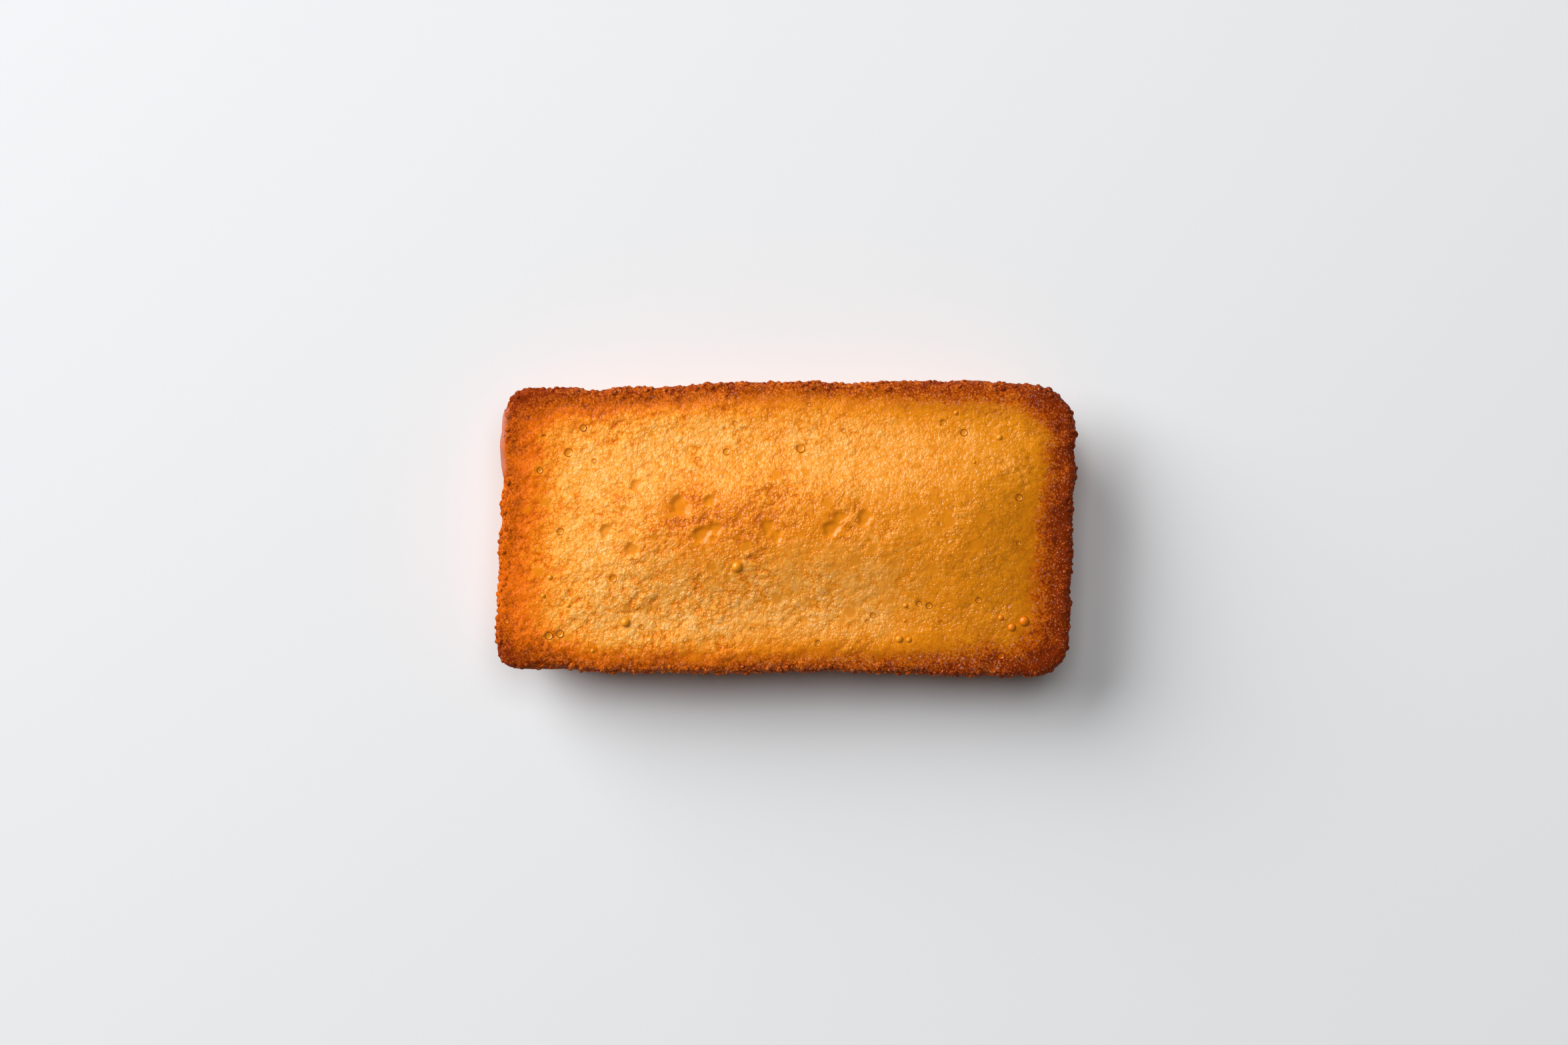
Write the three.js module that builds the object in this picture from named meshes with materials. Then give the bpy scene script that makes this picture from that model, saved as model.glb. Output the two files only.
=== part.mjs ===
// A financier: a small almond cake baked in a shallow tin, turned out and set down baked side up.
// Millimetres, +Z up, +X along the cake. The origin is under the middle of the cake, on its flat base.

import * as THREE from "three";
import { ImprovedNoise } from "three/addons/math/ImprovedNoise.js";
import { mergeVertices } from "three/addons/utils/BufferGeometryUtils.js";

// Section through the cake, from the base up
const RIM_HEIGHT = 11.4; // the widest line, where the batter met the lip of the tin
const WALL_LEAN = 3.6; // how far the tin's sides draw in between lip and floor
const FOOT_RADIUS = 1.2; // soft edge between the side and the base
const SHOULDER_RISE = 1.8; // browned shoulder above the rim
const SHOULDER_WIDTH = 3.2;
const HUMP_RISE = 2.8; // low hip-roof hump that rose in the middle
const HUMP_SAG = 0.5; // how much lower the hump is at the ends of its crest
const HUMP_FOOT = 6.5; // inward from the rim
const HUMP_TOP = 19.5; // inward from the rim

// The rim seen from above: a slightly skewed rectangle. Each corner starts to turn `round` before its point.
const CORNERS = [
  { x: 42.3, y: 21.9, round: 10.2 },
  { x: -41.1, y: 20.5, round: 4.5 },
  { x: -42.8, y: -20.6, round: 4.4 },
  { x: 41.2, y: -21.5, round: 5.7 },
];

// Where the rim swells out (+) or draws in (-), and over what spread to either side
const SWELLS = [
  { x: 34.5, y: 21.6, out: -0.35, spread: 3.0 },
  { x: 19, y: 21.5, out: 0.22, spread: 5.0 },
  { x: 3, y: 21.2, out: 0.28, spread: 2.5 },
  { x: -7, y: 21.1, out: 0.4, spread: 4.0 },
  { x: -27.5, y: 20.7, out: -0.35, spread: 2.2 },
  { x: -34, y: 20.6, out: 0.22, spread: 1.5 },
  { x: -41.4, y: 15, out: 0.34, spread: 2.8 },
  { x: -42.4, y: -10.5, out: 0.16, spread: 3.0 },
  { x: -42.5, y: -18, out: -0.24, spread: 1.5 },
  { x: -23, y: -20.8, out: 0.26, spread: 3.5 },
  { x: -9, y: -21, out: 0.24, spread: 2.5 },
  { x: 8, y: -21.2, out: -0.24, spread: 4.0 },
  { x: 25, y: -21.3, out: 0.22, spread: 3.5 },
  { x: 35, y: -21.4, out: 0.34, spread: 2.6 },
  { x: 41.5, y: -7.5, out: -0.2, spread: 1.6 },
  { x: 41.9, y: 7.8, out: 0.42, spread: 1.3 },
  { x: 41.4, y: 16.5, out: 0.38, spread: 2.4 },
];

// Dimples where bubbles burst and sank, most of them along the crest of the hump
const DIMPLES = [
  { x: -15.4, y: 3.3, radius: 1.8, depth: 0.8 },
  { x: -12.2, y: -0.7, radius: 1.6, depth: 0.6 },
  { x: -10.2, y: -0.2, radius: 1.3, depth: 0.45 },
  { x: -11.0, y: 4.0, radius: 1.3, depth: 0.35 },
  { x: -2.6, y: 0.2, radius: 1.7, depth: 0.5 },
  { x: 6.6, y: 0.0, radius: 1.7, depth: 0.6 },
  { x: 7.9, y: 1.7, radius: 1.3, depth: 0.45 },
  { x: 11.4, y: 1.5, radius: 1.7, depth: 0.6 },
  { x: -26.2, y: -0.4, radius: 1.5, depth: 0.5 },
  { x: -22.4, y: -3.1, radius: 1.5, depth: 0.5 },
  { x: -21.8, y: 6.3, radius: 1.3, depth: 0.35 },
];

// Lines that the rings of the mesh close on: the crest of the hump and the middle of the base
const CREST = { left: -18, right: 24, y: 1 };
const KEEL = { left: -21, right: 21, y: 0 };
const HALF_WIDTH = 21;

// Crags: coarse on the browned rim, faint on the pale middle and on the sides that the tin smoothed
const CRAG_SIZE = 2.6;
const RIM_CRAG = 0.34;
const RIM_CRAG_REACH = 5;
const TOP_CRAG = 0.16;
const WALL_CRAG = 0.08;

// Mesh
const COLUMNS = 220;
const WALL_ROWS = 4;
const TOP_ROWS = 16;
const TOP_ROW_CROWDING = 1.35; // above 1, rows crowd towards the rim
const MERGE_DISTANCE = 1e-4;

const noise = new ImprovedNoise();
const { clamp, lerp, smoothstep } = THREE.MathUtils;

function crag(x, y, z) {
  return noise.noise(x / CRAG_SIZE, y / CRAG_SIZE, z / CRAG_SIZE);
}

// The rim as a closed path, anticlockwise from the middle of the +X end
function rimPath() {
  const points = CORNERS.map(({ x, y }) => new THREE.Vector2(x, y));
  const along = (from, to, distance) => from.clone().add(to.clone().sub(from).setLength(distance));
  const start = points.at(-1).clone().lerp(points[0], 0.5);
  const path = new THREE.Path().moveTo(start.x, start.y);
  points.forEach((corner, k) => {
    const enter = along(corner, points.at(k - 1), CORNERS[k].round);
    const leave = along(corner, points[(k + 1) % points.length], CORNERS[k].round);
    path.lineTo(enter.x, enter.y);
    path.quadraticCurveTo(corner.x, corner.y, leave.x, leave.y);
  });
  return path.closePath();
}

// How far the rim stands out from the plain path at a point
function swell(point) {
  const swells = SWELLS.map(({ x, y, out, spread }) => {
    const distance = Math.hypot(point.x - x, point.y - y);
    return out * Math.exp(-0.5 * (distance / spread) ** 2);
  });
  return swells.reduce((sum, value) => sum + value, 0);
}

// The swollen rim, one point and outward direction for each column of the mesh
function rimColumns() {
  const path = rimPath();
  return Array.from({ length: COLUMNS }, (_, column) => {
    const plain = path.getPoint(column / COLUMNS);
    const tangent = path.getTangent(column / COLUMNS);
    const outward = new THREE.Vector2(tangent.y, -tangent.x);
    return { point: plain.clone().addScaledVector(outward, swell(plain)), outward };
  });
}

// The point of an inner line that a column runs to, the same for the two columns that mirror each other
function innerPoint(rim, column, line) {
  const mirrored = rim[(COLUMNS - column) % COLUMNS];
  const x = (rim[column].point.x + mirrored.point.x) / 2;
  return new THREE.Vector2(clamp(x, line.left, line.right), line.y);
}

function dimpleDepth(x, y) {
  return DIMPLES.reduce((sum, dimple) => {
    const distance = Math.hypot(x - dimple.x, y - dimple.y) / dimple.radius;
    return sum + (distance < 1 ? dimple.depth * (1 - distance ** 2) ** 2 : 0);
  }, 0);
}

// Height of the baked top, given how far inward from the rim the point lies
function topHeight(x, y, inward) {
  const past = Math.max(0, 1 - inward / SHOULDER_WIDTH);
  const shoulder = SHOULDER_RISE * Math.sqrt(1 - past ** 2);
  const alongCrest = (2 * x - CREST.left - CREST.right) / (CREST.right - CREST.left);
  const humpRise = HUMP_RISE - HUMP_SAG * Math.min(1, alongCrest ** 2);
  const hump = humpRise * smoothstep(inward, HUMP_FOOT, HUMP_TOP);
  return RIM_HEIGHT + shoulder + hump - dimpleDepth(x, y);
}

// How coarse the crags are on the top, given how far inward from the rim
function topCrag(inward) {
  return lerp(RIM_CRAG, TOP_CRAG, smoothstep(inward, 0, RIM_CRAG_REACH));
}

// The rows of the mesh from the middle of the base, over the rim, to the crest.
// `reach` is 0 on the inner line and 1 on the rim.
function profileRows() {
  const wallReach = (height) => 1 - (WALL_LEAN * (1 - height / RIM_HEIGHT)) / HALF_WIDTH;
  const rows = [
    { line: KEEL, reach: 0, height: 0 },
    { line: KEEL, reach: wallReach(0) - FOOT_RADIUS / HALF_WIDTH, height: 0 },
    { line: KEEL, reach: wallReach(0) - (0.3 * FOOT_RADIUS) / HALF_WIDTH, height: 0.3 * FOOT_RADIUS },
  ];
  for (let k = 0; k < WALL_ROWS; k += 1) {
    const height = lerp(FOOT_RADIUS, RIM_HEIGHT, k / WALL_ROWS);
    rows.push({ line: KEEL, reach: wallReach(height), height });
  }
  for (let k = 0; k <= TOP_ROWS; k += 1) {
    const reach = 1 - (k / TOP_ROWS) ** TOP_ROW_CROWDING;
    rows.push({ line: CREST, reach, height: null });
  }
  return rows;
}

// A point of the baked top, lifted by the crags and, near the rim, pushed outward by them
function topPlace(plan, outward, { reach }) {
  const inward = HALF_WIDTH * (1 - reach);
  const rough = crag(plan.x, plan.y, RIM_HEIGHT);
  const push = RIM_CRAG * rough * (1 - smoothstep(inward, 0, RIM_CRAG_REACH));
  const { x, y } = plan.clone().addScaledVector(outward, push);
  return { x, y, z: topHeight(x, y, inward) + topCrag(inward) * rough };
}

// A point of the side or the base
function wallPlace(plan, outward, { height }) {
  const push = height > 0 ? WALL_CRAG * crag(plan.x, plan.y, height) : 0;
  const { x, y } = plan.clone().addScaledVector(outward, push);
  return { x, y, z: height };
}

// A turned form whose rings are drawn out to the uneven rim and closed on the crest and the base
function cakeGeometry() {
  const rows = profileRows();
  const section = rows.map(({ reach, height }) => new THREE.Vector2(reach, height ?? RIM_HEIGHT));
  const geometry = new THREE.LatheGeometry(section, COLUMNS);
  geometry.deleteAttribute("normal");
  geometry.deleteAttribute("uv");
  const rim = rimColumns();
  const position = geometry.getAttribute("position");
  for (let turn = 0; turn <= COLUMNS; turn += 1) {
    const column = turn % COLUMNS;
    rows.forEach((row, k) => {
      const plan = innerPoint(rim, column, row.line).lerp(rim[column].point, row.reach);
      const place = row.line === CREST ? topPlace : wallPlace;
      const { x, y, z } = place(plan, rim[column].outward, row);
      position.setXYZ(turn * rows.length + k, x, y, z);
    });
  }
  return closed(geometry);
}

// Merges the seam and both inner lines, drops the triangles that close to nothing there, and centres the base
function closed(geometry) {
  const merged = mergeVertices(geometry, MERGE_DISTANCE);
  const corners = Array.from(merged.index.array);
  const kept = [];
  for (let k = 0; k < corners.length; k += 3) {
    const triangle = corners.slice(k, k + 3);
    if (new Set(triangle).size === 3) kept.push(...triangle);
  }
  merged.setIndex(kept);
  merged.computeBoundingBox();
  const middle = merged.boundingBox.getCenter(new THREE.Vector3());
  merged.translate(-middle.x, -middle.y, 0);
  merged.computeVertexNormals();
  return merged;
}

const crust = new THREE.MeshStandardMaterial({ color: 0xd08b3c, roughness: 0.5, metalness: 0 });
const cake = new THREE.Mesh(cakeGeometry(), crust);
cake.name = "cake";

const financier = new THREE.Group();
financier.add(cake);

export default financier;
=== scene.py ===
"""A financier: a small almond cake with a browned, grainy crust, burst bubbles and blisters.

The cake's form is read from the CAD solid. A fine skin is laid over it and roughened by a Geometry Nodes
tree. Other trees strew grains over its rim and set bubbles on it. Each spot is coloured by how far it
browned in the oven, and painted shade, sheen and glints are laid over that colour.
"""

import math

import bpy
import numpy as np
from bpy.props import FloatProperty, FloatVectorProperty, IntProperty, PointerProperty
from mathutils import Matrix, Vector
from mathutils.bvhtree import BVHTree
from mathutils.kdtree import KDTree
from mathutils.noise import noise


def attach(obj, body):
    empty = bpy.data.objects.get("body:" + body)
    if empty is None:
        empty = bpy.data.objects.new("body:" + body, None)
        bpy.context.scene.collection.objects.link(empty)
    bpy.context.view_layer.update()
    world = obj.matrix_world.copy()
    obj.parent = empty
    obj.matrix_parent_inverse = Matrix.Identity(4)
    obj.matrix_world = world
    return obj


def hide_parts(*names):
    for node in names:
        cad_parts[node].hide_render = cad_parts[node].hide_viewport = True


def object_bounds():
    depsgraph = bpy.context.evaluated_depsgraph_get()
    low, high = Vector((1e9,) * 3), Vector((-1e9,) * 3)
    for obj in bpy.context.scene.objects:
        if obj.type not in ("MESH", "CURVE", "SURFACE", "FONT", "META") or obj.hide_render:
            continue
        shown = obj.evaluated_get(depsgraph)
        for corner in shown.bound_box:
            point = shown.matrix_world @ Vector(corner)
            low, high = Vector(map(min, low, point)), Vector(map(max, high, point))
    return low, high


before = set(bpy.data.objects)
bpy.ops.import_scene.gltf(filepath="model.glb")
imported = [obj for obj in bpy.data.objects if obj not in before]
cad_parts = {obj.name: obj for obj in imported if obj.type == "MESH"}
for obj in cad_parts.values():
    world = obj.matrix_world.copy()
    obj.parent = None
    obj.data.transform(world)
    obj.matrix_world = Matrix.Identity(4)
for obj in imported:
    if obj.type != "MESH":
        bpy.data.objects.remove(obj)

bl_info = {
    "name": "Financier cake",
    "version": (1, 0, 0),
    "blender": (4, 5, 0),
    "location": "3D View > Sidebar > Financier",
    "description": "Lays the baked crust, bubbles and rim grains over the solid of a small almond cake",
    "category": "Object",
}

MM = 0.001
CAKE = "cake"
BODY = "root"
SKIN = "baked_cake"

# The solid's box, kept before anything is added
CAD_LOW, CAD_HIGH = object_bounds()

# Skin: points along and across the top, rows down the sides that crowd towards the rim, and rings on the base
TOP_ALONG = 404
TOP_ACROSS = 200
WALL_ROWS = 11
WALL_ROW_CROWDING = 1.4
BASE_INSETS = (0.4 * MM, 1.5 * MM, 5 * MM)

# The solid's widest line, half the line along its middle, and the rays from outside that find its side
RIM_HEIGHT = 11.4 * MM
KEEL_HALF = 21 * MM
RIM_RAYS = 3000
RIM_RAY_OVAL = (60 * MM, 40 * MM)
WALL_RAY_REACH = 1.3
LOWEST_RAY = 0.03 * MM

# How often the top's heights are averaged to smooth away the facets, and how much more on the hump's ends.
# A pair is where a change starts and where it is whole: out from the middle, or in from the rim.
SMOOTHING_PASSES = 150
SMOOTHING_INWARD = (0.4 * MM, 3 * MM)
ENDING_PASSES = 400
ENDING_ALONG = (14 * MM, 24 * MM)
ENDING_INWARD = (5 * MM, 10 * MM)

# How each side browned: its strength at the rim, its width inward in millimetres, and the butter film there
BROWNED_SIDES = {
    "front": (0.72, 3.8, 0.34),
    "right": (0.94, 4.6, 0.10),
    "back": (0.71, 3.9, 0.20),
    "left": (0.58, 6.6, 0.05),
}

# Butter film on the pale middle and on the sides, and how slowly a rim's film gives way to the middle's
PALE_FILM = 0.60
WALL_FILM = 0.12
FILM_SPREAD = 0.6

# The right end is darker further in, less so towards the back: partly browning, partly painted shade where
# the hump's right end turns away from the light
RIGHT_END_BAKE_AND_SHADE = 0.47
RIGHT_END_WIDTH = 24 * MM
RIGHT_END_SPARED = 0.75
RIGHT_END_BACK = (0, 14 * MM)

# Spots that browned more, or less where the strength is below zero: x, y, strength and reach in millimetres
BROWNED_SPOTS = (
    (41, -21, 0.27, 7),
    (-41, 20, 0.20, 9.5),
    (41, 20, 0.28, 9),
    (24, 22, 0.28, 10),
    (26, -21, 0.12, 9),
    (-32, -22, -0.15, 6),
    (-22, -22, -0.28, 6),
    (-12, -22, -0.20, 6),
    (-14, 3, 0.12, 4),
    (-8, -4, 0.10, 7),
    (-4, 5, 0.08, 6),
    (0, 12, 0.06, 8),
    (12, -14, -0.07, 8),
)

# How far the sides browned against the tin
SIDE_BAKE = 0.66

# The crest of the hump browned too: where that sets in and ends along X, and its middle and spread across
CREST_BAKE = 0.23
CREST_START = (-30 * MM, -14 * MM)
CREST_END = (4 * MM, 26 * MM)
CREST_MIDDLE = 1 * MM
CREST_SPREAD = 3.6 * MM

# Where browning makes the crust grainy, and how far in from the rim its grit, painted glints, grains and
# crags
# reach: all of it up to the first value, none past the second. The left end has fewer grains and painted
# glints.
GRAINY_BAKE = (0.15, 0.70)
GRIT_REACH = (5 * MM, 9 * MM)
PAINTED_GLINT_REACH = (2.5 * MM, 5 * MM)
GRAIN_REACH = (1.8 * MM, 4 * MM)
CRAG_REACH = (0.3 * MM, 1.2 * MM)
SPARSE_END = (-38 * MM, -30 * MM)
SPARSE_SHARE = 0.35

# A stretch of the left rim, between two values of Y, where grains broke away from a smooth skin that bulges
BARE_FROM = 7.3 * MM
BARE_TO = 17.9 * MM
BARE_FADES = (2 * MM, 1 * MM)
BARE_WIDTH = 0.7 * MM
BARE_FILM = 0.25
BARE_BULGE = 0.25 * MM
LEFT_END = -30 * MM

# Sunken bubbles on the hump: x, y, radius and depth in millimetres
DIMPLES = (
    (-15.4, 3.3, 1.62, 0.48),
    (-12.2, -0.8, 1.40, 0.42),
    (-10.2, 0.0, 1.01, 0.28),
    (-10.6, -1.5, 0.67, 0.20),
    (-11.0, 4.0, 0.95, 0.22),
    (-2.6, 0.2, 1.23, 0.31),
    (-1.4, -1.1, 1.01, 0.28),
    (6.6, 0.0, 1.34, 0.39),
    (7.9, 1.7, 1.06, 0.28),
    (11.4, 1.5, 1.29, 0.36),
    (-26.2, -0.4, 1.12, 0.36),
    (-22.4, -3.1, 1.12, 0.34),
    (-21.8, 6.3, 0.84, 0.25),
    (-23.4, 2.8, 0.67, 0.20),
)

# Smooth amber skins left by bubbles that closed again: x, y and radius in millimetres
AMBER_SKINS = (
    (-37.8, 2.8, 0.63), (-35.1, 3.9, 0.63), (-36.1, -6.3, 0.86), (-31.8, -15.8, 0.57),
    (-26.2, 5.4, 0.46), (-1.5, 7.8, 0.69), (3.0, 8.2, 0.69), (6.1, 3.9, 0.86),
    (-5.9, -2.6, 0.92), (-10.8, -5.6, 0.75), (-8.5, -7.2, 0.57), (-1.4, -10.2, 0.86),
    (10.2, -4.6, 0.86), (21.2, -6.0, 0.86), (12.5, -2.9, 0.75), (9.4, -12.2, 0.86),
    (19.0, 2.3, 0.92), (23.6, 1.1, 1.03), (28.5, 1.5, 0.86), (27.8, -2.5, 1.03),
)

# More of them at random: how many, where along the cake (most near the middle value), how far to either
# side, and their radii
STRAY_SKINS = 90
STRAY_SEED = 11
STRAY_ALONG = (-36, 24, 34)
STRAY_ACROSS = 15
STRAY_RADII = (0.25, 0.6)

# Depth of a smooth skin in millimetres, and the share of its radius where the edge of a sunken spot starts
SKIN_DEPTH = 0.05
STRAY_DEPTH = 0.04
SPOT_EDGE = 0.75
DIMPLE_EDGE = 0.45

# Bubbles that stayed shut and stand up as blisters: x, y and radius in millimetres
BLISTERS = (
    (-7.1, -5.6, 0.83), (-23.4, -13.7, 0.71), (34.7, -13.5, 0.78), (32.9, -14.4, 0.63), (31.3, -13.0, 0.44),
    (17.4, -11.2, 0.41), (16.5, -16.1, 0.59), (17.9, -16.2, 0.46), (-34.4, -7.1, 0.41), (-31.7, -11.2, 0.34),
    (-28.2, -17.8, 0.34), (9.5, -17.4, 0.29), (31.1, 13.3, 0.46), (24.8, 16.9, 0.41), (27.4, 9.7, 0.29),
    (17.3, -13.4, 0.29), (-35.4, -9.8, 0.39), (-21.8, -11.6, 0.24),
)

# Bubbles that burst and left a little cup with a raised lip: x, y and radius in millimetres
CUPS = (
    (-31.7, 11.1, 0.62), (-35.9, 8.5, 0.45), (-29.6, 14.7, 0.48), (-35.3, 13.5, 0.30), (2.1, 11.7, 0.64),
    (-8.7, 11.2, 0.51), (-28.0, 9.9, 0.34), (-32.9, -0.4, 0.51), (-25.2, -7.2, 0.55), (-21.1, -14.3, 0.39),
    (-34.6, -15.6, 0.57), (-33.0, -15.3, 0.57), (-40.8, -13.5, 0.39), (-5.0, -14.6, 0.32), (4.6, -16.7, 0.44),
    (12.6, -12.6, 0.39), (11.8, -13.5, 0.32), (19.3, -10.9, 0.41), (20.8, -11.2, 0.46), (22.6, -13.7, 0.32),
    (25.9, 14.0, 0.51), (22.9, 15.4, 0.48), (8.3, 14.3, 0.34), (12.2, 19.2, 0.34), (3.3, 18.1, 0.32),
    (-7.5, 15.4, 0.34), (33.9, 4.5, 0.53), (33.8, -2.1, 0.34), (28.0, -10.4, 0.44), (31.3, -18.5, 0.53),
    (-12.6, -6.9, 0.32), (-13.0, 10.2, 0.30),
)

# Sections of a blister and a cup, as radius and height over the skin for a bubble of radius 1
BLISTER_SECTION = (
    (0, 0.70), (0.28, 0.67), (0.54, 0.56), (0.76, 0.37), (0.91, 0.15), (0.99, -0.08), (1.02, -0.25),
    (0.7, -0.40), (0, -0.45),
)
CUP_SECTION = (
    (0, -0.05), (0.4, -0.03), (0.72, 0.05), (0.86, 0.16), (0.92, 0.26), (0.97, 0.30), (1.02, 0.27),
    (1.07, 0.18), (0.95, -0.15), (0, -0.30),
)
BUBBLE_SEGMENTS = 18

# Depth of the pit under a cup, where the foot of a bubble starts, both for radius 1, and how much darker the
# foot of each kind is painted, as painted shade where the bubble meets the crust
CUP_PIT = 0.25
FOOT_RADIUS = 0.88
BLISTER_FOOT_SHADE = 0.25
CUP_FOOT_SHADE = 0.7

# Size of the smoother and rougher patches of the crust, which is smoother towards the right
PATCH_SIZE = 4.5 * MM
PATCH_SMOOTHING = (-20 * MM, 30 * MM)

# How far the wrinkles on the hump slant from +X
WRINKLE_SLANT = math.radians(25)

# Patterns of the crust. Ground almond is 0.3 to 0.6 mm wide. The powdered sugar on the rim is finer than
# 0.1 mm and would not show. The pale specks on the rim are painted glints, drawn as coarse as the finest
# crumb, as are the facets of the butter film.
CRUMB_SIZES = (0.55 * MM, 0.32 * MM)
STIR_SIZE = 0.45 * MM
STIR_REACH = 0.5 * MM
PORE_SIZE = 2.0 * MM
SPECKLE_SIZE = 0.3 * MM
BLOTCH_SIZE = 2.4 * MM
HOLE_SPACING = 1.6 * MM
FACET_SIZE = 0.3 * MM
CRUMB_HEIGHT = 0.15 * MM
FILM_HEIGHT = 0.45 * MM
MOTTLE_SIZE = 0.4 * MM
MOTTLE_HEIGHT = 0.05 * MM

# How deep light spreads in the crumb and in a bubble's skin, red furthest
CRUMB_GLOW = 0.5 * MM
SYRUP_GLOW = 0.3 * MM
GLOW_COLOUR = (1.0, 0.35, 0.1)

# Where the colours have gone over from the left ones to the right ones, and the heights between which they
# go over to that of the sides
TINT_HALF = 30 * MM
TINNED_FROM = 10.5 * MM
TINNED_TO = 7 * MM

# Where the soft lights and the camera stand, and half the side of the floor, in metres
KEY_DISTANCE = 1.6
TOP_PLACE = (0.05, 0.3, 1.16)
CAMERA_PLACE = (-0.3 * MM, 0.9 * MM, 0.648)
FLOOR_HALF = 3.0


def linear(hex_colour):
    """Turn an sRGB hex colour into linear red, green and blue."""
    channels = (int(hex_colour[k:k + 2], 16) / 255 for k in (0, 2, 4))
    return tuple(c / 12.92 if c <= 0.04045 else ((c + 0.055) / 1.055) ** 2.4 for c in channels)


def add_node(tree, kind, inputs=None, **settings):
    """Add a node, set its properties, and fill its inputs with values or links."""
    made = tree.nodes.new(kind)
    for name, value in settings.items():
        setattr(made, name, value)
    for key, value in (inputs or {}).items():
        if isinstance(value, bpy.types.NodeSocket):
            tree.links.new(value, made.inputs[key])
        else:
            made.inputs[key].default_value = value
    return made


def smooth_step(values, low, high):
    """Rise smoothly from 0 at low to 1 at high."""
    share = np.clip((values - low) / (high - low), 0, 1)
    return share * share * (3 - 2 * share)


class FinancierCrust(bpy.types.PropertyGroup):
    """Relief and colours of the baked crust."""

    wrinkle_size: FloatProperty(
        name="Wrinkle size", description="Width of the broad wrinkles on the hump",
        default=2.6 * MM, unit="LENGTH")
    wrinkle_height: FloatProperty(
        name="Wrinkle height", description="Height of the broad wrinkles",
        default=0.48 * MM, unit="LENGTH")
    lump_size: FloatProperty(
        name="Lump size", description="Width of the small lumps of the crumb",
        default=1.0 * MM, unit="LENGTH")
    lump_height: FloatProperty(
        name="Lump height", description="Height of the small lumps",
        default=0.20 * MM, unit="LENGTH")
    seed: IntProperty(name="Seed", description="Picks the pattern of the crumb", default=7)
    # The peach colours are painted sheen: the tops of the crumb's lumps are painted lighter towards them
    peach_sheen_left: FloatVectorProperty(
        name="Peach crumb, left", description="Tops of the lumps at the paler end", subtype="COLOR",
        default=linear("FFBC66"))
    peach_sheen_right: FloatVectorProperty(
        name="Peach crumb, right", description="Tops of the lumps at the browner end", subtype="COLOR",
        default=linear("FBB868"))
    pale_left: FloatVectorProperty(
        name="Pale crust, left", description="Hardly browned crust at the paler end", subtype="COLOR",
        default=linear("FDA637"))
    pale_right: FloatVectorProperty(
        name="Pale crust, right", description="Hardly browned crust at the browner end", subtype="COLOR",
        default=linear("F4A23C"))
    golden_left: FloatVectorProperty(
        name="Golden crust, left", description="Lightly browned crust at the paler end", subtype="COLOR",
        default=linear("F48A13"))
    golden_right: FloatVectorProperty(
        name="Golden crust, right", description="Lightly browned crust at the browner end", subtype="COLOR",
        default=linear("EA8F10"))
    toasted_left: FloatVectorProperty(
        name="Toasted crust, left", description="Crust on the way to the left rim", subtype="COLOR",
        default=linear("E06A05"))
    toasted_right: FloatVectorProperty(
        name="Toasted crust, right", description="Crust on the way to the right rim", subtype="COLOR",
        default=linear("CE7A0B"))
    brown: FloatVectorProperty(
        name="Brown crust", description="Well browned crust", subtype="COLOR",
        default=linear("B55206"))
    dark: FloatVectorProperty(
        name="Dark crust", description="Darkest crust on the rim", subtype="COLOR",
        default=linear("832C07"))
    side: FloatVectorProperty(
        name="Side crust", description="Even crust that the tin baked on the sides", subtype="COLOR",
        default=linear("AC7038"))
    amber: FloatVectorProperty(
        name="Amber skin", description="Smooth skin of a bubble", subtype="COLOR",
        default=linear("E08617"))
    # Colour of painted glints: pale specks on the rim's grains that stand in for highlights
    painted_glint: FloatVectorProperty(
        name="Pale specks", description="Sugar that shows on the browned grains", subtype="COLOR",
        default=linear("F0A067"))
    syrup: FloatVectorProperty(
        name="Set syrup", description="Thin skin of a shut bubble", subtype="COLOR",
        default=linear("E8951E"))
    # The bare skin's pinkish tone is partly its own colour, partly painted sheen of the smooth skin facing
    # the light
    bare: FloatVectorProperty(
        name="Bare skin", description="Smooth skin where the grains broke away", subtype="COLOR",
        default=linear("B8694E"))


class FinancierGrains(bpy.types.PropertyGroup):
    """Sizes of the grains on the rim and of the crags along its edge."""

    grain_spacing: FloatProperty(
        name="Grain spacing", description="Least distance between two rim grains",
        default=0.40 * MM, unit="LENGTH")
    grain_least: FloatProperty(
        name="Smallest grain", description="Width of the smallest rim grain",
        default=0.28 * MM, unit="LENGTH")
    grain_most: FloatProperty(
        name="Largest grain", description="Width of the largest rim grain",
        default=0.65 * MM, unit="LENGTH")
    crag_spacing: FloatProperty(
        name="Crag spacing", description="Least distance between two crags on the edge of the rim",
        default=0.75 * MM, unit="LENGTH")
    crag_least: FloatProperty(
        name="Smallest crag", description="Width of the smallest crag",
        default=0.60 * MM, unit="LENGTH")
    crag_most: FloatProperty(
        name="Largest crag", description="Width of the largest crag",
        default=1.50 * MM, unit="LENGTH")


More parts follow.
